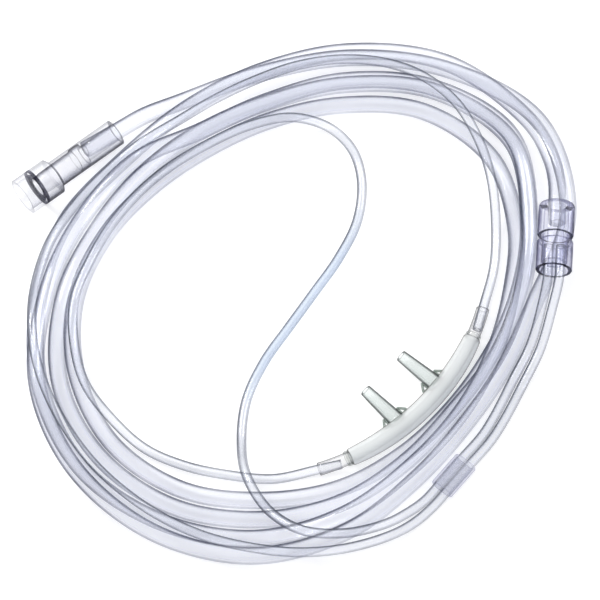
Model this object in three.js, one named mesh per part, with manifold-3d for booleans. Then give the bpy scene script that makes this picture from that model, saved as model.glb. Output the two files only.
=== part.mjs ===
// Nasal oxygen cannula, loosely coiled as it lies on a table.
// Millimetres, +Z up. The origin is under the middle of the nasal piece, level with its underside:
// +X runs along the nasal piece to its right-hand socket, +Y is where the two prongs point.
import * as THREE from "three";
import { mergeVertices } from "three/addons/utils/BufferGeometryUtils.js";
import Module from "manifold-3d";

const wasm = await Module();
wasm.setup();

const LIP = 0.35; // rounding of an open rim

// Tubing
const SUPPLY_DIAMETER = 5.5;
const SUPPLY_SIDES = 10;
const SUPPLY_STEPS = 88;
const EAR_DIAMETER = 3.1;
const EAR_SIDES = 8;
const EAR_STEPS = 56;

// Nasal piece: a moulding bent to an arc, with a socket at each end and two prongs
const BODY_ARC_RADIUS = 78.9;
const BODY_ARC_LENGTH = 55.8;
const BODY_WIDTH = 6.5; // across the middle, level with the table
const BODY_END_WIDTH = 5.6;
const BODY_HEIGHT = 6.0;
const BODY_SIDES = 16;
const STEP_RING_DIAMETER = 5.0;
const STEP_RING_LENGTH = 1.4;
const SOCKET_DIAMETER = 4.2;
const SOCKET_LENGTH = 10.8;
const LUMEN_DIAMETER = 3.2;
const PRONG_SPACING = 17.2;
const PRONG_LENGTH = 13.4; // beyond the side of the body
const PRONG_BASE_DIAMETER = 4.9;
const PRONG_TIP_DIAMETER = 3.8;
const PRONG_BORE_DIAMETER = 2.5;
const PRONG_LEAN = THREE.MathUtils.degToRad(2.4); // towards each other
const PRONG_TAPER_START = 2.7;
const PRONG_SIDES = 16;
const PRONG_BASE =
  BODY_ARC_RADIUS * (1 - Math.cos(Math.asin(PRONG_SPACING / 2 / BODY_ARC_RADIUS))) + BODY_WIDTH / 2;
const WEB_HEIGHT = 3.2;
const WEB_REACH = 3.3;
const WEB_THICKNESS = 1.2;
const WEB_ROOT = 1.2; // sunk into the body and into the prong
const STEP_SLOPE = 0.2;

// The coil's own axes, as it is looked at: x to the right, y away, about the middle of the coil
const COIL_CENTRE = [0.6, 44.9];
const COIL_TURN = THREE.MathUtils.degToRad(-46.5);

// Slider: a flattened sleeve that slides along the pair of ear tubes
const SLIDER_CENTRE = [46.4, -58.5];
const SLIDER_TURN = THREE.MathUtils.degToRad(50.5);
const SLIDER_LENGTH = 11.9;
const SLIDER_ROUND_STEPS = 8;
const SLIDER_WALL = 0.65;
const SLIDER_PLAY = 0.15; // round each tube
const PAIR_SPACING = 3.2;

// Junction: a turned body that the supply tube enters, with a gripping collar round its neck
const JUNCTION_TOP = [79.38, 28.75, 12];
const JUNCTION_TURN = THREE.MathUtils.degToRad(-93.7);
const JUNCTION_DIAMETER = 11.4;
const JUNCTION_SIDES = 24;
const JUNCTION_LENGTH = 10.6;
const WAIST_DIAMETER = 9.6;
const WAIST_LENGTH = 1.8;
const NECK_DIAMETER = 8.2;
const NECK_LENGTH = 7.2;
const JUNCTION_EDGE = 0.6;
const JUNCTION_BORE = 3.2;
const COLLAR_LENGTH = 9.6;
const COLLAR_PLAY = 0.3; // round the neck and behind the waist
const COLLAR_RIBS = 10;
const COLLAR_RIB_WIDTH = 1.5;
const COLLAR_RIB_HEIGHT = 0.45;

// Supply connector: stepped, with a bell mouth that pushes on to an outlet
const CONNECTOR_BACK = [-59.06, 56.89, 6.25];
const CONNECTOR_TURN = THREE.MathUtils.degToRad(218.2);
const CONNECTOR_SIDES = 28;
const CONNECTOR_DIAMETER = 8.8;
const CONNECTOR_SLEEVE_LENGTH = 12.2;
const CONNECTOR_BAND_LENGTH = 3.8;
const CONNECTOR_BARREL_LENGTH = 7.8;
const CONNECTOR_BORE = 5.9;
const CONNECTOR_STOP_BORE = 3.4;
const BELL_DIAMETER = 12.2;
const BELL_LENGTH = 12.8;
const BELL_SLOPE = 1.0;
const MOUTH_BORE = 9.6;
const MOUTH_DEPTH = 5.6;

// The supply tube leaves the connector, winds clockwise and ends in the junction. Each turn lists its
// radius from the middle of the coil, and its height, at every TURN_STEP from TURN_START.
const TURN_START = 240;
const TURN_STEP = 20;
const SUPPLY_LEAD = [
  [-58.8, 57.1, 6.2],
  [-50, 63.2, 5.2],
];
const SUPPLY_TURNS = [
  {
    radii: [
      79, 80.2, 86, 92.8, 97.3, 88.6, 72.5, 66.4, 65.2,
      69.3, 78.3, 86.8, 91, 91.4, 87.5, 79.8, 74, 69.3,
    ],
    heights: [
      3.6, 2.9, 2.9, 2.9, 2.9, 2.9, 2.9, 2.9, 2.9,
      2.9, 2.9, 3.4, 5.5, 8.2, 8.3, 8.2, 7.8, 10.4,
    ],
  },
  {
    radii: [
      64.8, 67.5, 75, 82.5, 85.5, 75.5, 67.9, 63.3, 61,
      64.3, 69.8, 74.5, 79.8, 81.8, 80.3, 74.3, 68, 65.8,
    ],
    heights: [
      8.4, 8.4, 8.4, 8.4, 8.4, 8.4, 8.2, 8.2, 8.2,
      7.8, 5.8, 3, 2.9, 2.9, 3.6, 7.3, 7.5, 5.9,
    ],
  },
  {
    radii: [
      66.8, 69.5, 76.3, 84, 86, 75.3, 66.4, 60.6, 58.7,
      60.2, 64, 68, 73.5, 76, 74.5, 71, 65.8, 61.7,
    ],
    heights: [
      3.2, 3, 2.9, 2.9, 2.9, 2.9, 2.9, 2.9, 2.9,
      2.9, 2.9, 2.9, 2.9, 2.9, 2.9, 2.9, 2.9, 2.9,
    ],
  },
  {
    radii: [
      60.6, 63.3, 69, 76, 77.3, 70.8, 64.8, 63, 64.3,
      68.3, 75.5, 81, 85.8, 88.5, 86.5, 82.5, 79.3, 74.5,
    ],
    heights: [
      2.9, 2.9, 2.9, 2.9, 3.2, 7, 12.2, 13.8, 14,
      13.6, 10.2, 3.5, 2.9, 2.9, 2.9, 2.9, 2.9, 3.7,
    ],
  },
  {
    radii: [73.8, 78.3, 85.5, 92.3, 92.9],
    heights: [8.3, 8.4, 8.4, 8.4, 8.9],
  },
];
const SUPPLY_END = [
  [77.9, 46, 10.2],
  [79.5, 36.5, 11.6],
  [79.4, 29.05, 12],
];

// The left ear tube goes from the nasal piece's left socket round the coil, back across the middle in
// an S, and through the slider to the junction. The right one goes round the other way, over the coil.
const EAR_LEFT = [
  [4.59, -56.79, 3], [-9, -59.4, 1.8], [-23, -58.1, 1.75], [-36.5, -55, 1.75], [-49, -49.5, 2.6],
  [-59.5, -41, 7], [-67.5, -29.5, 7.3], [-71, -16, 7.7], [-71, -2.5, 10.1], [-66, 11, 10.8],
  [-59.5, 23, 11], [-51, 34.5, 10], [-41.5, 44.3, 7.8], [-30, 52.1, 7.5], [-17.5, 58.4, 7.4],
  [-3.5, 61.8, 6.8], [8.5, 60, 2.8], [15.5, 53, 1.75], [18.5, 42, 1.75], [17, 28, 1.75], [11, 15, 1.75],
  [3.5, 3.5, 1.75], [-4.5, -8.5, 1.75], [-12, -20, 1.75], [-17.5, -33, 1.75], [-19, -47, 2.6],
  [-17.3, -60.5, 6.9], [-10.5, -72.5, 8.4], [0, -80.5, 12], [12.5, -80.3, 9.2], [25, -75.5, 4.6],
  [31.5, -71.5, 3], [37.54, -66.74, 2.35], [42.63, -60.66, 2.35], [48.99, -52.94, 2.35],
  [55.35, -45.23, 2.35], [59.4, -38.4, 2.35], [65, -26.9, 2.6], [70.7, -15.8, 5], [74.4, -3.6, 9.2],
  [76, 4, 11.6], [76.25, 9, 12],
];
const EAR_RIGHT = [
  [56.12, -2.48, 3], [59.7, 11.5, 3.2], [60.5, 25.5, 4], [59.2, 39.5, 7.9], [55.5, 52.5, 8.8],
  [48.5, 64, 12.4], [38, 73, 13.3], [26, 79, 11], [12, 79.5, 12.4], [-2, 77, 12.8], [-15, 72, 12.7],
  [-27.5, 65.5, 12.6], [-39.5, 58, 11.9], [-51.5, 51, 9.7], [-62, 42, 7.7], [-71, 31.5, 7.4],
  [-78.5, 19.5, 7.6], [-82.5, 6.5, 9.2], [-84, -7.5, 12.4], [-83, -21, 12.9], [-79, -34.5, 12.6],
  [-72.5, -47, 12.1], [-64, -57.5, 8.6], [-53.5, -67, 7.2], [-42, -75, 7.4], [-29.5, -81, 8],
  [-16, -84.5, 8], [-2, -86, 7.8], [12, -84.5, 6.8], [25.5, -79.5, 4], [33.5, -74.7, 2.6],
  [40, -68.78, 2.35], [45.09, -62.61, 2.35], [51.45, -54.89, 2.35], [57.8, -47.19, 2.35],
  [62.2, -40, 2.35], [68, -28.5, 2.6], [73.7, -17, 5], [77.6, -4.3, 9.2], [79.6, 3.8, 11.6],
  [79.95, 8.77, 12],
];

const COLOURS = {
  nasal_piece: 0xe6ece9,
  ear_tube: 0xdde2f5,
  supply_tube: 0xd2d6ee,
  slider: 0xb9b9cf,
  junction: 0xa7a8d6,
  connector: 0xd3d8e2,
};

function material(colour) {
  return new THREE.MeshStandardMaterial({
    color: colour,
    roughness: 0.25,
    metalness: 0,
    transparent: true,
    opacity: 0.6,
  });
}

function solidOf(geometry) {
  const bare = geometry.clone();
  for (const name of ["normal", "uv"]) bare.deleteAttribute(name);
  const merged = mergeVertices(bare, 1e-3);
  return new wasm.Manifold(
    new wasm.Mesh({
      numProp: 3,
      vertProperties: new Float32Array(merged.attributes.position.array),
      triVerts: new Uint32Array(merged.index.array),
    }),
  );
}

function geometryOf(solid) {
  const mesh = solid.getMesh();
  return new THREE.BufferGeometry()
    .setAttribute("position", new THREE.BufferAttribute(mesh.vertProperties, 3))
    .setIndex(new THREE.BufferAttribute(mesh.triVerts, 1));
}

// A closed profile of [place along the axis, radius] turned about +X.
function turned(profile, sides) {
  const points = profile.map(([along, radius]) => new THREE.Vector2(radius, along));
  points.push(points[0].clone());
  return new THREE.LatheGeometry(points, sides).rotateZ(-Math.PI / 2);
}

function rod(radius, from, to, sides) {
  return turned([[from, 0], [from, radius], [to, radius], [to, 0]], sides);
}

function roundSection(diameter, sides) {
  const corners = [];
  for (let i = 0; i < sides; i++) {
    const angle = (2 * Math.PI * i) / sides;
    corners.push(new THREE.Vector2(Math.cos(angle), Math.sin(angle)).multiplyScalar(diameter / 2));
  }
  return new THREE.Shape(corners);
}

function tubeAlong(points, diameter, sides, steps) {
  const route = new THREE.CatmullRomCurve3(points, false, "centripetal");
  return new THREE.ExtrudeGeometry(roundSection(diameter, sides), {
    steps,
    bevelEnabled: false,
    extrudePath: route,
  });
}

function supplyRoute() {
  const points = SUPPLY_LEAD.map((p) => new THREE.Vector3(...p));
  let angle = TURN_START;
  for (const { radii, heights } of SUPPLY_TURNS) {
    for (let i = 0; i < radii.length; i++) {
      const clockwise = THREE.MathUtils.degToRad(-angle);
      points.push(
        new THREE.Vector3(radii[i] * Math.cos(clockwise), radii[i] * Math.sin(clockwise), heights[i]),
      );
      angle += TURN_STEP;
    }
  }
  return points.concat(SUPPLY_END.map((p) => new THREE.Vector3(...p)));
}

// Bends a shape that is straight along X on to the nasal piece's arc, whose hollow side faces +Y.
function bend(geometry) {
  const position = geometry.attributes.position;
  for (let i = 0; i < position.count; i++) {
    const angle = position.getX(i) / BODY_ARC_RADIUS;
    const radius = BODY_ARC_RADIUS - position.getY(i);
    position.setXY(i, radius * Math.sin(angle), BODY_ARC_RADIUS - radius * Math.cos(angle));
  }
  return geometry;
}

function nasalBody() {
  const half = BODY_ARC_LENGTH / 2;
  const ringEnd = half + STEP_RING_LENGTH;
  const tip = ringEnd + SOCKET_LENGTH - STEP_RING_LENGTH;
  const bore = LUMEN_DIAMETER / 2;
  const middle = BODY_WIDTH / 2;
  const slices = 10;
  const outer = [];
  for (let i = 0; i <= slices; i++) {
    const share = i / slices;
    const fall = (middle - BODY_END_WIDTH / 2) * share ** 3;
    outer.push([half * share, middle - fall]);
  }
  outer.push(
    [half + STEP_SLOPE, STEP_RING_DIAMETER / 2],
    [ringEnd, STEP_RING_DIAMETER / 2],
    [ringEnd + STEP_SLOPE, SOCKET_DIAMETER / 2],
    [tip, SOCKET_DIAMETER / 2],
  );
  const left = outer.slice(1).reverse().map(([along, radius]) => [-along, radius]);
  const inner = [];
  for (let i = slices; i >= -slices; i--) inner.push([(tip * i) / slices, bore]);
  const straight = turned([...left, ...outer, ...inner], BODY_SIDES);
  const squat = BODY_HEIGHT / BODY_WIDTH;
  return bend(straight.scale(1, 1, squat));
}

// A thin three-cornered web in the angle between a prong and the body.
function web(side) {
  const prongSide = PRONG_BASE_DIAMETER / 2;
  const corners = [
    [prongSide - WEB_ROOT, -WEB_ROOT],
    [prongSide + WEB_REACH, -WEB_ROOT / 2],
    [prongSide - WEB_ROOT / 2, WEB_HEIGHT],
  ].map(([x, y]) => new THREE.Vector2(side * x, y));
  const plate = new THREE.ExtrudeGeometry(new THREE.Shape(corners), {
    depth: WEB_THICKNESS,
    bevelEnabled: false,
  });
  return plate.translate(0, 0, -WEB_THICKNESS / 2);
}

// Where a prong leaves the side of the body, with the prong along +Y.
function prongPlace(side) {
  return new THREE.Matrix4()
    .makeTranslation((side * PRONG_SPACING) / 2, PRONG_BASE, 0)
    .multiply(new THREE.Matrix4().makeRotationZ(side * PRONG_LEAN));
}

function nasalPiece() {
  const base = PRONG_BASE_DIAMETER / 2;
  const tip = PRONG_TIP_DIAMETER / 2;
  const inside = -BODY_WIDTH / 2;
  const profile = [
    [inside, 0],
    [inside, base],
    [PRONG_TAPER_START, base],
    [PRONG_LENGTH - LIP, tip],
    [PRONG_LENGTH, tip - LIP],
    [PRONG_LENGTH, 0],
  ];
  const sides = [-1, 1];
  let piece = solidOf(nasalBody());
  for (const side of sides) {
    const prong = turned(profile, PRONG_SIDES).rotateZ(Math.PI / 2);
    for (const shape of [prong, web(-1), web(1)]) {
      piece = piece.add(solidOf(shape.applyMatrix4(prongPlace(side))));
    }
  }
  for (const side of sides) {
    const bore = rod(PRONG_BORE_DIAMETER / 2, inside, PRONG_LENGTH + 1, PRONG_SIDES);
    piece = piece.subtract(solidOf(bore.rotateZ(Math.PI / 2).applyMatrix4(prongPlace(side))));
  }
  return geometryOf(piece);
}

function sliderSection(width, height) {
  const flat = (width - height) / 2;
  const outline = new THREE.Path();
  outline.absarc(flat, 0, height / 2, -Math.PI / 2, Math.PI / 2);
  outline.absarc(-flat, 0, height / 2, Math.PI / 2, (3 * Math.PI) / 2);
  return outline.getPoints(SLIDER_ROUND_STEPS);
}

// The slider's channel holds both tubes side by side. Its length runs along X.
function slider() {
  const channelHeight = EAR_DIAMETER + 2 * SLIDER_PLAY;
  const channelWidth = PAIR_SPACING + channelHeight;
  const shape = new THREE.Shape(
    sliderSection(channelWidth + 2 * SLIDER_WALL, channelHeight + 2 * SLIDER_WALL),
  );
  shape.holes.push(new THREE.Path(sliderSection(channelWidth, channelHeight)));
  return new THREE.ExtrudeGeometry(shape, { depth: SLIDER_LENGTH, bevelEnabled: false })
    .translate(0, 0, -SLIDER_LENGTH / 2)
    .rotateX(Math.PI / 2)
    .rotateZ(Math.PI / 2);
}

// The junction's axis runs along X from the face that the supply tube enters.
function junctionBody() {
  const radius = JUNCTION_DIAMETER / 2;
  const waistEnd = JUNCTION_LENGTH + WAIST_LENGTH;
  const neckEnd = waistEnd + NECK_LENGTH;
  const bore = JUNCTION_BORE / 2;
  return turned(
    [
      [0, bore],
      [0, radius - JUNCTION_EDGE],
      [JUNCTION_EDGE, radius],
      [JUNCTION_LENGTH - JUNCTION_EDGE, radius],
      [JUNCTION_LENGTH, radius - JUNCTION_EDGE],
      [JUNCTION_LENGTH, WAIST_DIAMETER / 2],
      [waistEnd, WAIST_DIAMETER / 2],
      [waistEnd, NECK_DIAMETER / 2],
      [neckEnd, NECK_DIAMETER / 2],
      [neckEnd, bore],
    ],
    JUNCTION_SIDES,
  );
}

function junctionCollar() {
  const inner = NECK_DIAMETER / 2 + COLLAR_PLAY;
  const outer = JUNCTION_DIAMETER / 2;
  const start = JUNCTION_LENGTH + WAIST_LENGTH + COLLAR_PLAY;
  const end = start + COLLAR_LENGTH;
  let collar = solidOf(
    turned([[start, inner], [start, outer], [end, outer], [end, inner]], JUNCTION_SIDES),
  );
  const ribDepth = 1;
  for (let i = 0; i < COLLAR_RIBS; i++) {
    const rib = new THREE.BoxGeometry(COLLAR_LENGTH - 2 * LIP, COLLAR_RIB_WIDTH, ribDepth)
      .translate((start + end) / 2, 0, outer + COLLAR_RIB_HEIGHT - ribDepth / 2)
      .rotateX((2 * Math.PI * i) / COLLAR_RIBS);
    collar = collar.add(solidOf(rib));
  }
  return geometryOf(collar);
}

// The connector's axis runs along X from the end that holds the tube to the mouth.
function supplyConnector() {
  const outer = CONNECTOR_DIAMETER / 2;
  const bell = BELL_DIAMETER / 2;
  const bandEnd = CONNECTOR_SLEEVE_LENGTH + CONNECTOR_BAND_LENGTH;
  const barrelEnd = bandEnd + CONNECTOR_BARREL_LENGTH;
  const mouth = barrelEnd + BELL_LENGTH;
  const stop = CONNECTOR_STOP_BORE / 2;
  const bore = CONNECTOR_BORE / 2;
  return turned(
    [
      [0, stop],
      [0, outer - LIP],
      [LIP, outer],
      [barrelEnd, outer],
      [barrelEnd + BELL_SLOPE, bell],
      [mouth - LIP, bell],
      [mouth, bell - LIP],
      [mouth, MOUTH_BORE / 2],
      [mouth - MOUTH_DEPTH, MOUTH_BORE / 2],
      [mouth - MOUTH_DEPTH, bore],
      [bandEnd, bore],
      [bandEnd, stop],
    ],
    CONNECTOR_SIDES,
  );
}

function named(name, geometry, colour) {
  const mesh = new THREE.Mesh(geometry, material(colour));
  mesh.name = name;
  return mesh;
}

function placed(place, turn, ...meshes) {
  const holder = new THREE.Group();
  holder.position.set(...place);
  holder.rotation.z = turn;
  if (meshes.length) holder.add(...meshes);
  return holder;
}

const group = new THREE.Group();

// The body's middle lies so far back that the nasal piece's box is centred on the origin.
const tipReach =
  PRONG_BASE +
  PRONG_LENGTH * Math.cos(PRONG_LEAN) +
  (PRONG_TIP_DIAMETER / 2 - LIP) * Math.sin(PRONG_LEAN);
const backOffset = (tipReach - BODY_WIDTH / 2) / 2;
group.add(
  placed(
    [0, -backOffset, BODY_HEIGHT / 2],
    0,
    named("nasal_piece", nasalPiece(), COLOURS.nasal_piece),
  ),
);

const coil = placed([...COIL_CENTRE, 0], COIL_TURN);
coil.add(
  named(
    "supply_tube",
    tubeAlong(supplyRoute(), SUPPLY_DIAMETER, SUPPLY_SIDES, SUPPLY_STEPS),
    COLOURS.supply_tube,
  ),
);
const ears = { ear_tube_left: EAR_LEFT, ear_tube_right: EAR_RIGHT };
for (const [name, points] of Object.entries(ears)) {
  const route = points.map((p) => new THREE.Vector3(...p));
  coil.add(named(name, tubeAlong(route, EAR_DIAMETER, EAR_SIDES, EAR_STEPS), COLOURS.ear_tube));
}
coil.add(
  placed(
    [...SLIDER_CENTRE, EAR_DIAMETER / 2 + SLIDER_PLAY + SLIDER_WALL],
    SLIDER_TURN,
    named("slider", slider(), COLOURS.slider),
  ),
  placed(
    JUNCTION_TOP,
    JUNCTION_TURN,
    named("junction_body", junctionBody(), COLOURS.junction),
    named("junction_collar", junctionCollar(), COLOURS.junction),
  ),
  placed(
    CONNECTOR_BACK,
    CONNECTOR_TURN,
    named("supply_connector", supplyConnector(), COLOURS.connector),
  ),
);
group.add(coil);

export default group;
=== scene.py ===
# Looks of the nasal oxygen cannula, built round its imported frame. Points and sizes are in millimetres
# and angles in degrees until a mesh is made, which is in metres.
from math import asin, ceil, cos, pi, radians, sin

import bpy
import numpy as np
from mathutils import Matrix, Vector


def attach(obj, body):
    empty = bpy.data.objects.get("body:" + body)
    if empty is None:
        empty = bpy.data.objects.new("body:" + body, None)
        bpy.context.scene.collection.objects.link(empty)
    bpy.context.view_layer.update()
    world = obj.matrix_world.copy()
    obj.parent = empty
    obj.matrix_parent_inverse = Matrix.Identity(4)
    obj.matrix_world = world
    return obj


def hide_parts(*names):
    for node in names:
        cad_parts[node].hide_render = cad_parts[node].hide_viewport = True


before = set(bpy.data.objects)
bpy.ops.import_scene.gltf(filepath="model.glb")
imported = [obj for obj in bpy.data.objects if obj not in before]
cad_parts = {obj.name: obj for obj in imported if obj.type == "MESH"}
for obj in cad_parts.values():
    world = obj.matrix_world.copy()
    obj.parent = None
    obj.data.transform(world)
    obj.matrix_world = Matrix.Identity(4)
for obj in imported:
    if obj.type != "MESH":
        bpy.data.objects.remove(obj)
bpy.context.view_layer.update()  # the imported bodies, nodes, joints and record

scene = bpy.context.scene
MM = 0.001

# ---- camera, at the photo's angle
CAMERA_TURN, CAMERA_RISE = radians(-46.5), radians(66)
CAMERA_AIM = Vector((1.19, 46.76, 0)) * MM
CAMERA_AWAY = 1.8
VIEW_WIDTH = 187.5 * MM
SENSOR = 36

toward = Vector((
    -sin(CAMERA_TURN) * cos(CAMERA_RISE),
    cos(CAMERA_TURN) * cos(CAMERA_RISE),
    -sin(CAMERA_RISE),
))
camera = bpy.data.objects.new("camera", bpy.data.cameras.new("camera"))
scene.collection.objects.link(camera)
camera.location = CAMERA_AIM - toward * CAMERA_AWAY
camera.rotation_euler = toward.to_track_quat("-Z", "Y").to_euler()
camera.data.sensor_width = SENSOR
camera.data.lens = SENSOR * CAMERA_AWAY / VIEW_WIDTH
camera.data.clip_end = 20
scene.camera = camera
scene.view_settings.view_transform = "Standard"
scene.cycles.transparent_max_bounces = 96  # many clear walls lie behind each other
scene.cycles.max_bounces = 16

# ---- the coil's own axes, as the camera sees it: u to the right, v away
COIL = Matrix.Translation((0.6, 44.9, 0)) @ Matrix.Rotation(CAMERA_TURN, 4, "Z")


def placed(place, turn):
    return COIL @ Matrix.Translation(place) @ Matrix.Rotation(radians(turn), 4, "Z")


def in_frame(points, matrix=COIL):
    return np.array([matrix @ Vector(p) for p in points])


# ---- meshes
PAINTED_LIGHT_SIDE = Vector((-0.1, -0.995, 0))  # painted light: edges that face this way are painted paler on the soft tubing, as if the light came from here
PAINTED_SKY_CENTRE = np.array((0.001, 0.034))  # painted reflection: round here, in metres, the ear tube is painted with the sky's colour, as a reflection of it
PAINTED_SKY_REACH, PAINTED_SKY_FADE = 0.044, 0.02


def mesh_object(name, points, faces, materials=(), face_slots=None, smooth=True):
    """Two attributes are read by the materials: side, how far a point faces the way its edges are painted
    light from, and how near the point lies to the spot of painted sky reflection.
    """
    points = np.asarray(points) * MM
    a, b, c, d = (points[[face[k] for face in faces]] for k in (0, 1, 2, -1))
    if np.sum(a * (np.cross(b, c) + np.cross(c, d))) < 0:  # the faces have to look outward
        faces = [face[::-1] for face in faces]
    data = bpy.data.meshes.new(name)
    data.from_pydata([tuple(p) for p in points], [], faces)
    data.validate()
    data.update()
    for m in materials:
        data.materials.append(m)
    if face_slots is not None:
        data.polygons.foreach_set("material_index", face_slots)
    data.polygons.foreach_set("use_smooth", [smooth] * len(data.polygons))
    # painted light: how far each point faces the way the light is painted from
    side = data.attributes.new("side", "FLOAT", "POINT")
    side.data.foreach_set("value", [v.normal @ PAINTED_LIGHT_SIDE for v in data.vertices])
    # painted reflection: how near each point lies to the spot painted with the sky's colour
    painted_sky = data.attributes.new("painted_sky", "FLOAT", "POINT")
    far = np.linalg.norm(points[:, :2] - PAINTED_SKY_CENTRE, axis=1)
    painted_sky.data.foreach_set("value", np.clip((PAINTED_SKY_REACH - far) / PAINTED_SKY_FADE, 0, 1))
    obj = bpy.data.objects.new(name, data)
    scene.collection.objects.link(obj)
    return obj


def catmull(points, samples):
    """The centripetal curve that the CAD's tubes follow."""
    p = np.array(points, float)
    p = np.vstack([2 * p[0] - p[1], p, 2 * p[-1] - p[-2]])
    out = []
    for i in range(1, len(p) - 2):
        x0, x1, x2, x3 = p[i - 1 : i + 3]
        d0, d1, d2 = (np.sqrt(np.linalg.norm(b - a)) for a, b in ((x0, x1), (x1, x2), (x2, x3)))
        t1 = ((x1 - x0) / d0 - (x2 - x0) / (d0 + d1) + (x2 - x1) / d1) * d1
        t2 = ((x2 - x1) / d1 - (x3 - x1) / (d1 + d2) + (x3 - x2) / d2) * d1
        t = np.linspace(0, 1, samples, endpoint=False)[:, None]
        square, cube = 3 * (x2 - x1) - 2 * t1 - t2, 2 * (x1 - x2) + t1 + t2
        out.append(x1 + t1 * t + square * t**2 + cube * t**3)
    return np.vstack(out + [p[-2:-1]])


def evenly(line, step):
    """The line again, with points about a step apart, and its length."""
    along = np.concatenate([[0], np.cumsum(np.linalg.norm(np.diff(line, axis=0), axis=1))])
    at = np.linspace(0, along[-1], ceil(along[-1] / step) + 1)
    return np.stack([np.interp(at, along, line[:, k]) for k in range(3)], axis=1), along[-1]


def across(line):
    """Two directions across the line at each point, carried along it without a twist."""
    way = np.gradient(line, axis=0)
    way /= np.linalg.norm(way, axis=1)[:, None]
    side = np.cross((0, 0, 1), way[0])
    side /= np.linalg.norm(side)
    sides = []
    for w in way:
        side = side - w * (side @ w)
        side /= np.linalg.norm(side)
        sides.append(side)
    sides = np.array(sides)
    return sides, np.cross(way, sides)


def ring_faces(rings, count):
    """Faces between rings of count points each, the last ring joined to the first."""
    faces = []
    for i in range(rings):
        a, b = i * count, (i + 1) % rings * count
        for j in range(count):
            k = (j + 1) % count
            faces.append((a + j, a + k, b + k, b + j))
    return faces


def hollow_tube(name, line, outer, inner, sides, materials):
    """A tube as one closed mesh: the outer wall, the far rim, the bore and the near rim."""
    x, y = across(line)
    angle = np.linspace(0, 2 * pi, sides, endpoint=False)[:, None]
    spokes = [np.cos(angle) * a + np.sin(angle) * b for a, b in zip(x, y)]
    rings = [point + outer * spoke for point, spoke in zip(line, spokes)]
    bore = [point + inner * spoke for point, spoke in zip(line, spokes)]
    faces = ring_faces(2 * len(line), sides)
    outside = (len(line) - 1) * sides
    slots = [0] * (outside + sides) + [1] * outside + [0] * sides
    return mesh_object(name, np.vstack(rings + bore[::-1]), faces, materials, slots)


def rounded(profile, radius, steps=3):
    """The closed profile with each corner rounded."""
    p = np.array(profile, float)
    out = []
    for i in range(len(p)):
        a, b, c = p[i - 1], p[i], p[(i + 1) % len(p)]
        back, on = np.linalg.norm(a - b), np.linalg.norm(c - b)
        r = min(radius, 0.45 * back, 0.45 * on)
        first, last = b + (a - b) / back * r, b + (c - b) / on * r
        for t in np.linspace(0, 1, steps + 1):
            out.append((1 - t) ** 2 * first + 2 * t * (1 - t) * b + t**2 * last)
    return np.array(out)


def turned(name, profile, sides, matrix, materials, slots=None, warp=None):
    """A closed profile of (place along the axis, radius), turned about +X."""
    angle = np.linspace(0, 2 * pi, sides, endpoint=False)
    unit = np.stack([np.ones(sides), np.cos(angle), np.sin(angle)], axis=1)
    points = np.vstack([unit * (along, radius, radius) for along, radius in profile])
    if warp:
        points = warp(points)
    faces = ring_faces(len(profile), sides)
    face_slots = None if slots is None else np.repeat(slots, sides).tolist()
    return mesh_object(name, in_frame(points, matrix), faces, materials, face_slots)


# ---- materials
TINT_START, TINT_FULL = 0.1, 0.7  # how far a surface turns away where its tint deepens, and is deepest
NOISE_LOW, NOISE_HIGH = 0.3, 0.7
DIM_SIDE, BRIGHT_FULL = -0.5, 0.9  # painted light: how far towards the bright side an edge starts to be painted paler, and is palest
EVERYWHERE = (-1.0, -0.5)  # start and full of an edge that covers the whole piece


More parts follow.
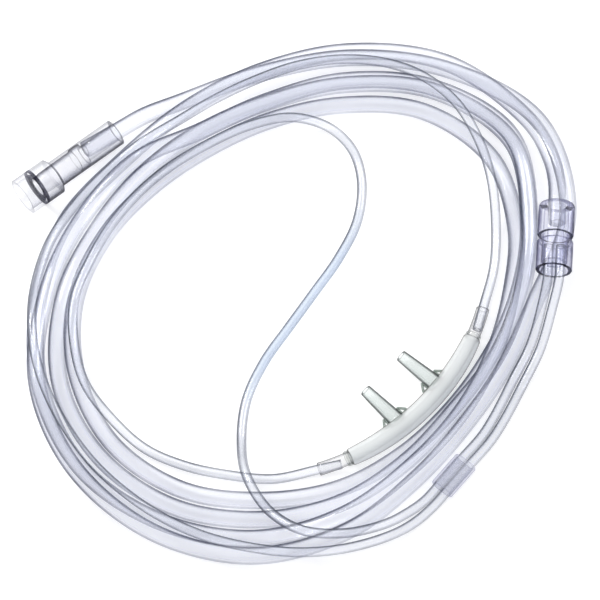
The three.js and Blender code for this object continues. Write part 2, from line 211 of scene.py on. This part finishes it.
def clear(name, tint, edge_tint, fill, rim, low, high, start, full, painted_light=0.0, gloss=0.05, rough=0.1,
          streak=0.3, scale=60, painted_sky=None):
    """See-through plastic, darker where it is looked at along its surface: there the light has the most of
    it to pass. Light that passes takes tint, or edge_tint at an edge. The solid share has the colours fill
    and rim, and goes from low to high between the turns start and full. painted_light paints light on
    the edges: it is how far the edges on the bright side lose their darkness, or, below zero, those on
    the other side. streak and scale are the strength and fineness of the unevenness, and painted_sky is
    the colour of a painted sky reflection near its spot."""
    m = bpy.data.materials.new(name)
    m.use_nodes = True
    nodes, link = m.node_tree.nodes, m.node_tree.links.new
    nodes.clear()

    def add(kind, **values):
        node = nodes.new(kind)
        for key, value in values.items():
            node.inputs[key].default_value = value
        return node

    def spread(source, low_in, high_in, low_out, high_out, smooth=True):
        node = nodes.new("ShaderNodeMapRange")
        if smooth:
            node.interpolation_type = "SMOOTHSTEP"
        ends = {"From Min": low_in, "From Max": high_in, "To Min": low_out, "To Max": high_out}
        for key, value in ends.items():
            node.inputs[key].default_value = value
        link(source, node.inputs["Value"])
        return node.outputs["Result"]

    def times(a, b):
        node = nodes.new("ShaderNodeMath")
        node.operation = "MULTIPLY"
        node.use_clamp = True
        link(a, node.inputs[0])
        link(b, node.inputs[1])
        return node.outputs["Value"]

    def mixed(factor, a, b):
        node = nodes.new("ShaderNodeMix")
        node.data_type = "RGBA"
        node.inputs["A"].default_value = (*a, 1)
        node.inputs["B"].default_value = (*b, 1)
        link(factor, node.inputs["Factor"])
        return node.outputs["Result"]

    coords = nodes.new("ShaderNodeTexCoord")
    noise = add("ShaderNodeTexNoise", Scale=scale, Detail=3.0)
    link(coords.outputs["Object"], noise.inputs["Vector"])
    facing = add("ShaderNodeLayerWeight", Blend=0.5).outputs["Facing"]
    side = nodes.new("ShaderNodeAttribute")
    side.attribute_name = "side"
    uneven = spread(noise.outputs["Fac"], NOISE_LOW, NOISE_HIGH, 1 - streak, 1, False)
    # painted light: edges that face the bright side are painted paler, or, below zero, those facing away
    if painted_light >= 0:
        painted_light_mask = spread(side.outputs["Fac"], DIM_SIDE, BRIGHT_FULL, 1, 1 - painted_light)
    else:
        painted_light_mask = spread(side.outputs["Fac"], -BRIGHT_FULL, -DIM_SIDE, 1 + painted_light, 1)
    strength = times(uneven, painted_light_mask)
    solid = add("ShaderNodeBsdfPrincipled", Roughness=0.6)
    solid.inputs["Specular IOR Level"].default_value = 0.0
    edge = spread(facing, start, full, 0, 1)
    link(mixed(edge, fill, rim), solid.inputs["Base Color"])
    through = nodes.new("ShaderNodeBsdfTransparent")
    tinted = mixed(times(spread(facing, TINT_START, TINT_FULL, 0, 1), strength), tint, edge_tint)
    # painted reflection: the sky's colour multiplied into the tint near its spot
    if painted_sky:
        where = nodes.new("ShaderNodeAttribute")
        where.attribute_name = "painted_sky"
        sky = nodes.new("ShaderNodeMix")
        sky.data_type = "RGBA"
        sky.blend_type = "MULTIPLY"
        sky.inputs["B"].default_value = (*painted_sky, 1)
        link(where.outputs["Fac"], sky.inputs["Factor"])
        link(tinted, sky.inputs["A"])
        tinted = sky.outputs["Result"]
    link(tinted, through.inputs["Color"])
    factor = nodes.new("ShaderNodeMath")
    factor.operation = "ADD"
    factor.use_clamp = True
    factor.inputs[0].default_value = low
    link(times(spread(facing, start, full, 0, high - low), strength), factor.inputs[1])
    body = nodes.new("ShaderNodeMixShader")
    link(factor.outputs["Value"], body.inputs["Fac"])
    link(through.outputs["BSDF"], body.inputs[1])
    link(solid.outputs["BSDF"], body.inputs[2])
    shine = add("ShaderNodeBsdfGlossy", Roughness=rough)
    both = add("ShaderNodeMixShader", Fac=gloss)
    link(body.outputs["Shader"], both.inputs[1])
    link(shine.outputs["BSDF"], both.inputs[2])
    link(both.outputs["Shader"], nodes.new("ShaderNodeOutputMaterial").inputs["Surface"])
    return m


# painted light: most of these materials get edges painted paler on one side, and the ear tube's also a
# painted sky reflection
SUPPLY = clear(
    "supply_wall", (0.974, 0.979, 0.996), (0.78, 0.79, 0.87), (0.8, 0.82, 0.95), (0.07, 0.08, 0.12),
    0.01, 0.72, 0.12, 0.52, painted_light=0.75, streak=0.6, scale=45,
)
BORE = clear(
    "bore_wall", (0.99, 0.992, 0.998), (0.96, 0.96, 0.98), (0.85, 0.87, 0.95), (0.4, 0.42, 0.5),
    0.005, 0.1, 0.4, 0.9, painted_light=0.8, streak=0.7, gloss=0.02,
)
EAR = clear(
    "ear_wall", (0.98, 0.984, 0.996), (0.82, 0.84, 0.9), (0.8, 0.84, 0.95), (0.07, 0.08, 0.11),
    0.01, 0.72, 0.06, 0.45, painted_light=0.6, streak=0.5, scale=45, painted_sky=(0.92, 0.955, 0.995),
)
SOFT = clear(
    "nasal_soft", (0.965, 0.975, 0.975), (0.8, 0.8, 0.8), (0.97, 0.99, 0.995), (0.16, 0.155, 0.14),
    0.5, 0.9, 0.42, 0.85, painted_light=0.9, rough=0.35, streak=0.2, gloss=0.02,
)
PRONG = clear(
    "prong_wall", (0.968, 0.984, 0.981), (0.62, 0.67, 0.66), (0.92, 0.97, 0.96), (0.03, 0.035, 0.035),
    0.07, 0.8, 0.1, 0.5, painted_light=0.8, streak=0.2,
)
PRONG_IN = clear(
    "prong_bore", (0.985, 0.99, 0.988), (0.93, 0.95, 0.945), (0.8, 0.86, 0.84), (0.4, 0.43, 0.42),
    0.01, 0.12, 0.4, 0.9, gloss=0.01,
)
SOCKET = clear(
    "socket_wall", (0.99, 0.99, 0.99), (0.86, 0.86, 0.87), (0.85, 0.86, 0.87), (0.12, 0.12, 0.12),
    0.01, 0.6, 0.2, 0.65, painted_light=0.25,
)
SOCKET_IN = clear(
    "socket_bore", (0.995, 0.995, 0.995), (0.93, 0.93, 0.94), (0.85, 0.86, 0.87), (0.3, 0.3, 0.3),
    0.0, 0.25, 0.3, 0.8, gloss=0.02,
)
RING = clear(
    "step_ring", (0.95, 0.955, 0.95), (0.7, 0.72, 0.71), (0.6, 0.62, 0.61), (0.14, 0.15, 0.15),
    0.06, 0.6, 0.3, 0.8, streak=0.85, scale=420,
)
WEB = clear(
    "web_edge", (0.8, 0.85, 0.82), (0.6, 0.66, 0.63), (0.2, 0.24, 0.22), (0.16, 0.19, 0.175),
    0.15, 0.42, *EVERYWHERE, streak=0.3, scale=200,
)
SLEEVE = clear(
    "slider_wall", (0.975, 0.977, 0.992), (0.86, 0.86, 0.92), (0.68, 0.7, 0.8), (0.42, 0.43, 0.52),
    0.13, 0.3, 0.35, 0.9, rough=0.35, streak=0.2,
)
HARD = clear(
    "junction_wall", (0.967, 0.97, 0.995), (0.55, 0.55, 0.75), (0.6, 0.6, 0.82), (0.01, 0.01, 0.03),
    0.03, 0.8, 0.22, 0.75, gloss=0.05, rough=0.25, streak=0.8, scale=230,
)
HARD_IN = clear(
    "junction_bore", (0.98, 0.981, 0.997), (0.88, 0.88, 0.94), (0.6, 0.6, 0.8), (0.1, 0.1, 0.18),
    0.01, 0.25, 0.35, 0.9, gloss=0.02, rough=0.25, streak=0.6, scale=230,
)
# painted dark reflection: a near-black sheet on the steps and patches of the clear junction and connector,
# standing in for the dark reflections seen in them
PAINTED_DARK_REFLECTION = clear(
    "painted_dark_reflection", (0.6, 0.6, 0.7), (0.4, 0.4, 0.5), (0.012, 0.012, 0.03), (0.004, 0.004, 0.015),
    0.6, 0.97, *EVERYWHERE, gloss=0.02, streak=1.0, scale=300,
)
BELL = clear(
    "connector_wall", (0.98, 0.981, 0.99), (0.7, 0.71, 0.77), (0.7, 0.72, 0.8), (0.015, 0.015, 0.025),
    0.02, 0.8, 0.18, 0.6, painted_light=-0.7, gloss=0.05, rough=0.06, streak=0.4, scale=120,
)
BELL_IN = clear(
    "connector_bore", (0.975, 0.976, 0.99), (0.78, 0.79, 0.85), (0.6, 0.62, 0.7), (0.03, 0.03, 0.05),
    0.02, 0.75, 0.12, 0.55, painted_light=-0.85, gloss=0.04, streak=0.4, scale=120,
)
MOUTH = clear(
    "connector_mouth", (0.985, 0.987, 0.993), (0.88, 0.88, 0.91), (0.7, 0.72, 0.8), (0.1, 0.1, 0.12),
    0.01, 0.35, 0.3, 0.8, painted_light=0.7, gloss=0.04, streak=0.4, scale=120,
)

# ---- cords: the supply tube and the two ear tubes, on the routes of their CAD solids
SUPPLY_DIAMETER, SUPPLY_BORE = 5.5, 3.3
EAR_DIAMETER, EAR_BORE = 3.1, 2.0
TURN_START, TURN_STEP = 240, 20
SUPPLY_LEAD = [(-58.8, 57.1, 6.2), (-50, 63.2, 5.2)]
SUPPLY_RADII = [
    79, 80.2, 86, 92.8, 97.3, 88.6, 72.5, 66.4, 65.2, 69.3, 78.3, 86.8, 91, 91.4, 87.5, 79.8, 74, 69.3,
    64.8, 67.5, 75, 82.5, 85.5, 75.5, 67.9, 63.3, 61, 64.3, 69.8, 74.5, 79.8, 81.8, 80.3, 74.3, 68, 65.8,
    66.8, 69.5, 76.3, 84, 86, 75.3, 66.4, 60.6, 58.7, 60.2, 64, 68, 73.5, 76, 74.5, 71, 65.8, 61.7,
    60.6, 63.3, 69, 76, 77.3, 70.8, 64.8, 63, 64.3, 68.3, 75.5, 81, 85.8, 88.5, 86.5, 82.5, 79.3, 74.5,
    73.8, 78.3, 85.5, 92.3, 92.9,
]
SUPPLY_HEIGHTS = [
    3.6, 2.9, 2.9, 2.9, 2.9, 2.9, 2.9, 2.9, 2.9, 2.9, 2.9, 3.4, 5.5, 8.2, 8.3, 8.2, 7.8, 10.4,
    8.4, 8.4, 8.4, 8.4, 8.4, 8.4, 8.2, 8.2, 8.2, 7.8, 5.8, 3, 2.9, 2.9, 3.6, 7.3, 7.5, 5.9,
    3.2, 3, 2.9, 2.9, 2.9, 2.9, 2.9, 2.9, 2.9, 2.9, 2.9, 2.9, 2.9, 2.9, 2.9, 2.9, 2.9, 2.9,
    2.9, 2.9, 2.9, 2.9, 3.2, 7, 12.2, 13.8, 14, 13.6, 10.2, 3.5, 2.9, 2.9, 2.9, 2.9, 2.9, 3.7,
    8.3, 8.4, 8.4, 8.4, 8.9,
]
SUPPLY_END = [(77.9, 46, 10.2), (79.5, 36.5, 11.6), (79.4, 29.05, 12)]
EAR_LEFT = [
    (4.59, -56.79, 3), (-9, -59.4, 1.8), (-23, -58.1, 1.75), (-36.5, -55, 1.75), (-49, -49.5, 2.6),
    (-59.5, -41, 7), (-67.5, -29.5, 7.3), (-71, -16, 7.7), (-71, -2.5, 10.1), (-66, 11, 10.8),
    (-59.5, 23, 11), (-51, 34.5, 10), (-41.5, 44.3, 7.8), (-30, 52.1, 7.5), (-17.5, 58.4, 7.4),
    (-3.5, 61.8, 6.8), (8.5, 60, 2.8), (15.5, 53, 1.75), (18.5, 42, 1.75), (17, 28, 1.75), (11, 15, 1.75),
    (3.5, 3.5, 1.75), (-4.5, -8.5, 1.75), (-12, -20, 1.75), (-17.5, -33, 1.75), (-19, -47, 2.6),
    (-17.3, -60.5, 6.9), (-10.5, -72.5, 8.4), (0, -80.5, 12), (12.5, -80.3, 9.2), (25, -75.5, 4.6),
    (31.5, -71.5, 3), (37.54, -66.74, 2.35), (42.63, -60.66, 2.35), (48.99, -52.94, 2.35),
    (55.35, -45.23, 2.35), (59.4, -38.4, 2.35), (65, -26.9, 2.6), (70.7, -15.8, 5), (74.4, -3.6, 9.2),
    (76, 4, 11.6), (76.25, 9, 12),
]
EAR_RIGHT = [
    (56.12, -2.48, 3), (59.7, 11.5, 3.2), (60.5, 25.5, 4), (59.2, 39.5, 7.9), (55.5, 52.5, 8.8),
    (48.5, 64, 12.4), (38, 73, 13.3), (26, 79, 11), (12, 79.5, 12.4), (-2, 77, 12.8), (-15, 72, 12.7),
    (-27.5, 65.5, 12.6), (-39.5, 58, 11.9), (-51.5, 51, 9.7), (-62, 42, 7.7), (-71, 31.5, 7.4),
    (-78.5, 19.5, 7.6), (-82.5, 6.5, 9.2), (-84, -7.5, 12.4), (-83, -21, 12.9), (-79, -34.5, 12.6),
    (-72.5, -47, 12.1), (-64, -57.5, 8.6), (-53.5, -67, 7.2), (-42, -75, 7.4), (-29.5, -81, 8),
    (-16, -84.5, 8), (-2, -86, 7.8), (12, -84.5, 6.8), (25.5, -79.5, 4), (33.5, -74.7, 2.6),
    (40, -68.78, 2.35), (45.09, -62.61, 2.35), (51.45, -54.89, 2.35), (57.8, -47.19, 2.35),
    (62.2, -40, 2.35), (68, -28.5, 2.6), (73.7, -17, 5), (77.6, -4.3, 9.2), (79.6, 3.8, 11.6),
    (79.95, 8.77, 12),
]
# how far the tubes go on inside the nasal piece, the junction's neck, the connector and the
# junction's top
IN_SOCKET, IN_NECK, IN_SLEEVE, IN_TOP = 7.5, 6, 12, 6.5
CURVE_SAMPLES, STRAIGHT_SAMPLES = 12, 4
TABLE_GAP = 0.05
SUPPLY_SIDES, SUPPLY_STEP = 20, 2.6
EAR_SIDES, EAR_STEP = 16, 1.6


def supply_route():
    points = list(SUPPLY_LEAD)
    for i, (radius, height) in enumerate(zip(SUPPLY_RADII, SUPPLY_HEIGHTS)):
        angle = radians(-(TURN_START + TURN_STEP * i))
        points.append((radius * cos(angle), radius * sin(angle), height))
    return points + SUPPLY_END


def cord(name, node, route, start, end, outer, bore, sides, step, materials):
    """start and end are how far the tube goes on, straight, inside what holds its ends."""
    line = catmull(route, CURVE_SAMPLES)
    for at, ahead, far in ((0, 1, start), (-1, -2, end)):
        way = (line[at] - line[ahead]) / np.linalg.norm(line[at] - line[ahead])
        extra = [line[at] + way * far * k / STRAIGHT_SAMPLES for k in range(1, STRAIGHT_SAMPLES + 1)]
        line = np.vstack([extra[::-1], line] if at == 0 else [line, extra])
    line, long = evenly(in_frame(line), step)
    line[:, 2] = np.maximum(line[:, 2], outer / 2 + TABLE_GAP)  # none of it sinks into the table
    tube = hollow_tube(name, line, outer / 2, bore / 2, sides, materials)
    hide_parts(node)
    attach(tube, "cannula")
    return tube, line, long


supply, supply_line, supply_length = cord(
    "supply_tubing", "supply_tube", supply_route(), IN_SLEEVE, IN_TOP,
    SUPPLY_DIAMETER, SUPPLY_BORE, SUPPLY_SIDES, SUPPLY_STEP, [SUPPLY, BORE],
)
ear_left, ear_left_line, ear_left_length = cord(
    "ear_tubing_left", "ear_tube_left", EAR_LEFT, IN_SOCKET, IN_NECK,
    EAR_DIAMETER, EAR_BORE, EAR_SIDES, EAR_STEP, [EAR, BORE],
)
ear_right, ear_right_line, ear_right_length = cord(
    "ear_tubing_right", "ear_tube_right", EAR_RIGHT, IN_SOCKET, IN_NECK,
    EAR_DIAMETER, EAR_BORE, EAR_SIDES, EAR_STEP, [EAR, BORE],
)

# ---- nasal piece
ARC_RADIUS = 78.9
HALF_BODY = 27.9
BODY_WIDTH, BODY_END_WIDTH, BODY_HEIGHT = 6.5, 5.6, 6.0
RING_DIAMETER, RING_LENGTH = 5.0, 1.4
SOCKET_DIAMETER, SOCKET_LENGTH, LUMEN = 4.2, 10.8, 3.2
PRONG_SPACING, PRONG_LENGTH, PRONG_LEAN = 17.2, 13.4, radians(2.4)
PRONG_BASE_DIAMETER, PRONG_TIP_DIAMETER, PRONG_BORE = 4.9, 3.8, 2.5
PRONG_FLARE = [(-1.2, 0.45), (-0.5, 0.3), (0.3, 0.12), (1.4, 0)]  # place along it, and how much wider
TAPER_START, TAPER_END, BORE_START = 2.7, 0.35, 0.4  # the first from the base, the others from the tip
PRONG_BASE = ARC_RADIUS * (1 - cos(asin(PRONG_SPACING / 2 / ARC_RADIUS))) + BODY_WIDTH / 2
NASAL_BACK = 6.96
NASAL = Matrix.Translation((0, -NASAL_BACK, BODY_HEIGHT / 2))


def bent(points):
    """Straight along X on to the nasal piece's arc, and squat."""
    angle = points[:, 0] / ARC_RADIUS
    radius = ARC_RADIUS - points[:, 1]
    squat = points[:, 2] * BODY_HEIGHT / BODY_WIDTH
    return np.stack([radius * np.sin(angle), ARC_RADIUS - radius * np.cos(angle), squat], axis=1)


def ride_with(obj, slot, body="cannula", *nodes):
    if nodes:
        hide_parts(*nodes)
    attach(obj, body)
    return obj


SEAM = 0.3  # from the body's end to the step ring
LIP, LIP_RADIUS = 0.25, 2.45
RING_GAP, RING_ROUND = 0.25, 0.25
BODY_STATIONS, LUMEN_STATIONS, SOCKET_STATIONS, PRONG_STATIONS = 24, 12, 10, 8
BODY_SIDES, NASAL_SIDES = 40, 32
WEB_CORNERS = [(-0.4, 0.3), (-0.1, 2.4), (2.5, 0.2)]  # place along the prong, and out from its wall
WEB_THICK, WEB_HIGH, WEB_SIDES, WEB_STATIONS = 0.42, 0.6, 8, 7
WEB_ROUND = 0.12  # share of each edge that its rounded corners take

outline = []
for i in range(-BODY_STATIONS, BODY_STATIONS + 1):
    narrowing = (BODY_WIDTH - BODY_END_WIDTH) / 2 * (abs(i) / BODY_STATIONS) ** 3
    outline.append((HALF_BODY * i / BODY_STATIONS, BODY_WIDTH / 2 - narrowing))
ends = [(HALF_BODY + LIP, LIP_RADIUS), (HALF_BODY + SEAM, LUMEN / 2 + 0.2)]
outline += ends
back = range(LUMEN_STATIONS, -LUMEN_STATIONS - 1, -1)
outline += [(HALF_BODY * i / LUMEN_STATIONS, LUMEN / 2) for i in back]
outline += [(-along, radius) for along, radius in ends[::-1]]
body = turned("nasal_body", outline, BODY_SIDES, NASAL, [SOFT], warp=bent)
ride_with(body, "nasal_soft", "cannula", "nasal_piece")


def step_ring(side, name):
    near, far = HALF_BODY + SEAM, HALF_BODY + SEAM + RING_LENGTH
    inner, outer = LUMEN / 2 + RING_GAP, RING_DIAMETER / 2
    ring = rounded([(near, inner), (near, outer), (far, outer), (far, inner)], RING_ROUND)
    ring[:, 0] *= side
    return turned(f"step_ring_{name}", ring, NASAL_SIDES, NASAL, [RING], warp=bent)


def socket(side, name):
    near, far = HALF_BODY + SEAM, HALF_BODY + SOCKET_LENGTH
    stations = [near + (far - near) * i / SOCKET_STATIONS for i in range(SOCKET_STATIONS + 1)]
    wall = [(along, SOCKET_DIAMETER / 2) for along in stations] + [(far, LUMEN / 2 + 0.1)]
    wall += [(along, LUMEN / 2 + 0.02) for along in stations[::-1]]
    wall = np.array(wall)
    wall[:, 0] *= side
    slots = [0] * (SOCKET_STATIONS + 2) + [1] * SOCKET_STATIONS + [0]
    return turned(f"socket_{name}", wall, NASAL_SIDES, NASAL, [SOCKET, SOCKET_IN], slots, warp=bent)


def prong(place, name, base):
    """Flared at its base, tapered, with a rounded open tip."""
    end, bore = PRONG_TIP_DIAMETER / 2, PRONG_BORE / 2
    wall = [(along, base + wider) for along, wider in PRONG_FLARE]
    taper = PRONG_LENGTH - TAPER_START - TAPER_END
    for i in range(PRONG_STATIONS + 1):
        share = i / PRONG_STATIONS
        wall.append((TAPER_START + taper * share, base + (end - base) * share))
    middle, half_wall = (end + bore) / 2, (end - bore) / 2
    for a in range(0, 181, 30):
        along = PRONG_LENGTH - half_wall + half_wall * sin(radians(a))
        wall.append((along, middle + half_wall * cos(radians(a))))
    slots = [0] * (len(wall) - 1) + [1] * PRONG_STATIONS + [0]
    inset = PRONG_LENGTH - BORE_START
    bore_length = inset - PRONG_FLARE[0][0]
    for i in range(1, PRONG_STATIONS + 1):
        wall.append((inset - bore_length * i / PRONG_STATIONS, bore))
    return turned(f"prong_{name}", wall, NASAL_SIDES, place, [PRONG, PRONG_IN], slots)


def web(place, name, base, flank):
    """The raised edge of the small triangle between the prong and the body."""
    corners = np.array([(along, flank * (base + out), 0) for along, out in WEB_CORNERS])
    loop = []
    for a, b in zip(corners, np.roll(corners, -1, axis=0)):
        loop += [a + (b - a) * t for t in np.linspace(WEB_ROUND, 1 - WEB_ROUND, WEB_STATIONS)]
    ahead = np.roll(loop, -1, axis=0) - np.roll(loop, 1, axis=0)
    ahead /= np.linalg.norm(ahead, axis=1)[:, None]
    angle = np.linspace(0, 2 * pi, WEB_SIDES, endpoint=False)[:, None]
    up = WEB_HIGH * np.sin(angle) * np.array((0, 0, 1))
    outward = np.cross(ahead, (0, 0, 1))
    rings = [p + WEB_THICK * np.cos(angle) * out + up for p, out in zip(loop, outward)]
    faces = ring_faces(len(loop), WEB_SIDES)
    label = f"web_{name}_{'near' if flank < 0 else 'far'}"
    return mesh_object(label, in_frame(np.vstack(rings), place), faces, [WEB])


for side, name in ((-1, "left"), (1, "right")):
    ride_with(step_ring(side, name), "nasal_soft")
    ride_with(socket(side, name), "nasal_soft")
    root = Matrix.Translation((side * PRONG_SPACING / 2, PRONG_BASE, 0))
    place = NASAL @ root @ Matrix.Rotation(side * PRONG_LEAN + pi / 2, 4, "Z")
    ride_with(prong(place, name, PRONG_BASE_DIAMETER / 2), "nasal_soft")
    for flank in (-1, 1):
        ride_with(web(place, name, PRONG_BASE_DIAMETER / 2, flank), "nasal_soft")

# ---- slider: a flattened sleeve round both ear tubes
SLIDER_CENTRE, SLIDER_TURN, SLIDER_LENGTH = (46.4, -58.5, 2.35), 50.5, 11.9
CHANNEL_HEIGHT, PAIR_SPACING, SLIDER_WALL = 3.4, 3.2, 0.65
END_POINTS = 12  # round each end of the flattened section


def stadium(height):
    flat = PAIR_SPACING / 2
    points = []
    for centre, first in ((flat, -90), (-flat, 90)):
        for k in range(END_POINTS):
            a = radians(first + 180 * k / (END_POINTS - 1))
            points.append((centre + height / 2 * cos(a), height / 2 * sin(a)))
    return points


half = SLIDER_LENGTH / 2
outer, inner = CHANNEL_HEIGHT + 2 * SLIDER_WALL, CHANNEL_HEIGHT
stations = [  # place along it and height of the section, outside and back through the inside
    (-half + 0.35, outer), (half - 0.35, outer), (half - 0.1, outer - 0.2), (half, outer - 0.55),
    (half, inner + 0.3), (half - 0.2, inner), (-half + 0.2, inner), (-half, inner + 0.3),
    (-half, outer - 0.55), (-half + 0.1, outer - 0.2),
]
points = [(along, across_it, up) for along, height in stations for across_it, up in stadium(height)]
slider = mesh_object(
    "slider_sleeve", in_frame(points, placed(SLIDER_CENTRE, SLIDER_TURN)),
    ring_faces(len(stations), 2 * END_POINTS), [SLEEVE],
)
ride_with(slider, "slider_plastic", "slider", "slider")

# ---- junction
JUNCTION = placed((79.38, 28.75, 12), -93.7)
OUTER_R, NECK_R, WAIST_R = 5.7, 4.1, 4.4
TUBE_R, CHAMBER_R, COLLAR_R = 2.85, 2.6, 4.4
GROOVES, GROOVE_SHARE, GROOVE_DEPTH = 12, 0.13, 0.03
CHAMBER_START, TOP_END, WAIST_END, NECK_END = 7.2, 10.6, 12.4, 19.6
COLLAR_START, COLLAR_END = 12.7, 22.3
TOP_ROUND, COLLAR_ROUND, BELL_ROUND = 0.3, 0.25, 0.2
JUNCTION_SIDES = 144
CONNECTOR_SIDES = 56
FACE_SLACK = 0.08  # a stretch of profile this near to a flat face lies on it
WALL, INSIDE, PAINTED_DARK_SLOT, MOUTH_WALL = 0, 1, 2, 3  # material slots of the clear mouldings; the third is the painted dark reflection
PATCH_NEAR, PATCH_FAR = 5.6, 8.6
PAINTED_DARK_PATCHES = [  # the stretch along the body, the turn and half the width of each patch painted dark as a reflection
    ((-0.1, FACE_SLACK), 197, 17), ((-0.1, FACE_SLACK), 336, 18), ((PATCH_NEAR, PATCH_FAR), 352, 7),
]


def grooved(points):
    """Shallow grooves along the outside, as on a moulded grip."""
    radius = np.linalg.norm(points[:, 1:], axis=1)
    turn = np.arctan2(points[:, 2], points[:, 1]) * GROOVES / (2 * pi) % 1
    depth = np.clip(1 - np.abs(turn - 0.5) / GROOVE_SHARE, 0, 1) * GROOVE_DEPTH
    depth *= radius > WAIST_R + 0.1
    return points * np.stack([np.ones(len(points)), 1 - depth, 1 - depth], axis=1)


def pick_slots(profile, pick):
    """The material slot of each stretch of a profile, from the middle of the stretch."""
    return [pick(*(a + b) / 2) for a, b in zip(profile, np.roll(profile, -1, axis=0))]


# the step faces of the mouldings take the painted dark reflection
def top_slot(along, radius):
    if radius < 3.2:
        return INSIDE
    return PAINTED_DARK_SLOT if abs(along - TOP_END) < FACE_SLACK and radius > WAIST_R else WALL


def collar_slot(along, radius):
    if radius < COLLAR_R + 0.1:
        return INSIDE
    return PAINTED_DARK_SLOT if along > COLLAR_END - FACE_SLACK else WALL


top = rounded([
    (0, TUBE_R), (0, OUTER_R - 0.35), (0.6, OUTER_R), (PATCH_NEAR, OUTER_R), (PATCH_FAR, OUTER_R),
    (TOP_END - 0.4, OUTER_R), (TOP_END, OUTER_R - 0.2), (TOP_END, WAIST_R), (WAIST_END, WAIST_R),
    (WAIST_END, NECK_R), (NECK_END, NECK_R), (NECK_END, CHAMBER_R), (CHAMBER_START, CHAMBER_R),
    (CHAMBER_START, TUBE_R),
], TOP_ROUND)
moulded = [HARD, HARD_IN, PAINTED_DARK_REFLECTION]
slots = pick_slots(top, top_slot)
shell = turned("junction_shell", top, JUNCTION_SIDES, JUNCTION, moulded, slots, grooved)
# painted dark reflection on the patches of the outer wall
for face in shell.data.polygons:
    row, column = divmod(face.index, JUNCTION_SIDES)
    along = (top[row][0] + top[(row + 1) % len(top)][0]) / 2
    turn = column * 360 / JUNCTION_SIDES
    for (low, high), middle, half_width in PAINTED_DARK_PATCHES:
        if low < along < high and abs(turn - middle) < half_width:
            face.material_index = PAINTED_DARK_SLOT
ride_with(shell, "junction_plastic", "cannula", "junction_body")
collar = rounded([
    (COLLAR_START, COLLAR_R), (COLLAR_START, OUTER_R), (COLLAR_END, OUTER_R), (COLLAR_END, COLLAR_R),
], COLLAR_ROUND)
slots = pick_slots(collar, collar_slot)
grip = turned("junction_grip", collar, JUNCTION_SIDES, JUNCTION, moulded, slots, grooved)
ride_with(grip, "junction_plastic", "cannula", "junction_collar")

# ---- supply connector
CONNECTOR = placed((-59.06, 56.89, 6.25), 218.2)
SLEEVE_R, BELL_R, MOUTH_R, BORE_R, RELIEF_R = 4.4, 6.1, 4.8, 2.95, 4
THROAT_R, THROAT_NEAR_R = 3.4, 3.5
SLEEVE_END, BELL_START, THROAT, MOUTH_STEP, MOUTH_END = 23.8, 24.8, 28, 31, 36.6
BAND = 0.5  # half the length of the band round the mouth's step that is painted dark as a reflection
RELIEF_NEAR, RELIEF_FAR = 12.6, 16


def bell_slot(along, radius):
    near_relief = min(abs(along - RELIEF_FAR), abs(along - RELIEF_NEAR)) < 0.05
    # painted dark reflection on the mouth's step and on the relief's steps
    if abs(along - MOUTH_STEP) < BAND + 0.1 or (radius > THROAT_NEAR_R + 0.1 and near_relief):
        return PAINTED_DARK_SLOT
    if along > MOUTH_STEP:
        return MOUTH_WALL
    return INSIDE if radius < RELIEF_R and along > 0.1 else WALL


bell = rounded([
    (0, TUBE_R), (0, SLEEVE_R), (SLEEVE_END, SLEEVE_R), (BELL_START, BELL_R), (MOUTH_STEP - BAND, BELL_R),
    (MOUTH_STEP + BAND, BELL_R), (MOUTH_END, BELL_R), (MOUTH_END, MOUTH_R), (MOUTH_STEP, MOUTH_R),
    (MOUTH_STEP, BORE_R), (THROAT, THROAT_R), (RELIEF_FAR, THROAT_NEAR_R), (RELIEF_FAR, RELIEF_R),
    (RELIEF_NEAR, RELIEF_R), (RELIEF_NEAR, TUBE_R),
], BELL_ROUND)
slots = pick_slots(bell, bell_slot)
walls = [BELL, BELL_IN, PAINTED_DARK_REFLECTION, MOUTH]
connector = turned("connector_shell", bell, CONNECTOR_SIDES, CONNECTOR, walls, slots)
ride_with(connector, "connector_vinyl", "cannula", "supply_connector")

# ---- floor, world and lights
FLOOR_HALF = 3000
corners = [(x * FLOOR_HALF, y * FLOOR_HALF, 0) for x, y in ((-1, -1), (1, -1), (1, 1), (-1, 1))]
floor = mesh_object("floor", corners, [(0, 1, 2, 3)], smooth=False)
paper = bpy.data.materials.new("paper")
paper.use_nodes = True
shader = paper.node_tree.nodes["Principled BSDF"]
shader.inputs["Base Color"].default_value = (0.8, 0.8, 0.8, 1)
shader.inputs["Roughness"].default_value = 1.0
shader.inputs["Specular IOR Level"].default_value = 0.0
shader.inputs["Emission Color"].default_value = (1, 1, 1, 1)
shader.inputs["Emission Strength"].default_value = 0.42
floor.data.materials.append(paper)
world = bpy.data.worlds.new("studio")
world.use_nodes = True
world.node_tree.nodes["Background"].inputs["Color"].default_value = (1, 1, 1, 1)
world.node_tree.nodes["Background"].inputs["Strength"].default_value = 0.75
scene.world = world


def area_light(name, place, size, power):
    light = bpy.data.objects.new(name, bpy.data.lights.new(name, "AREA"))
    scene.collection.objects.link(light)
    light.data.size = size
    light.data.energy = power
    light.location = place
    light.rotation_euler = (CAMERA_AIM - Vector(place)).to_track_quat("-Z", "Y").to_euler()


area_light("key", (-0.06, 0.55, 0.5), 0.2, 2.2)
area_light("fill", (0.5, -0.1, 0.6), 0.3, 0.6)
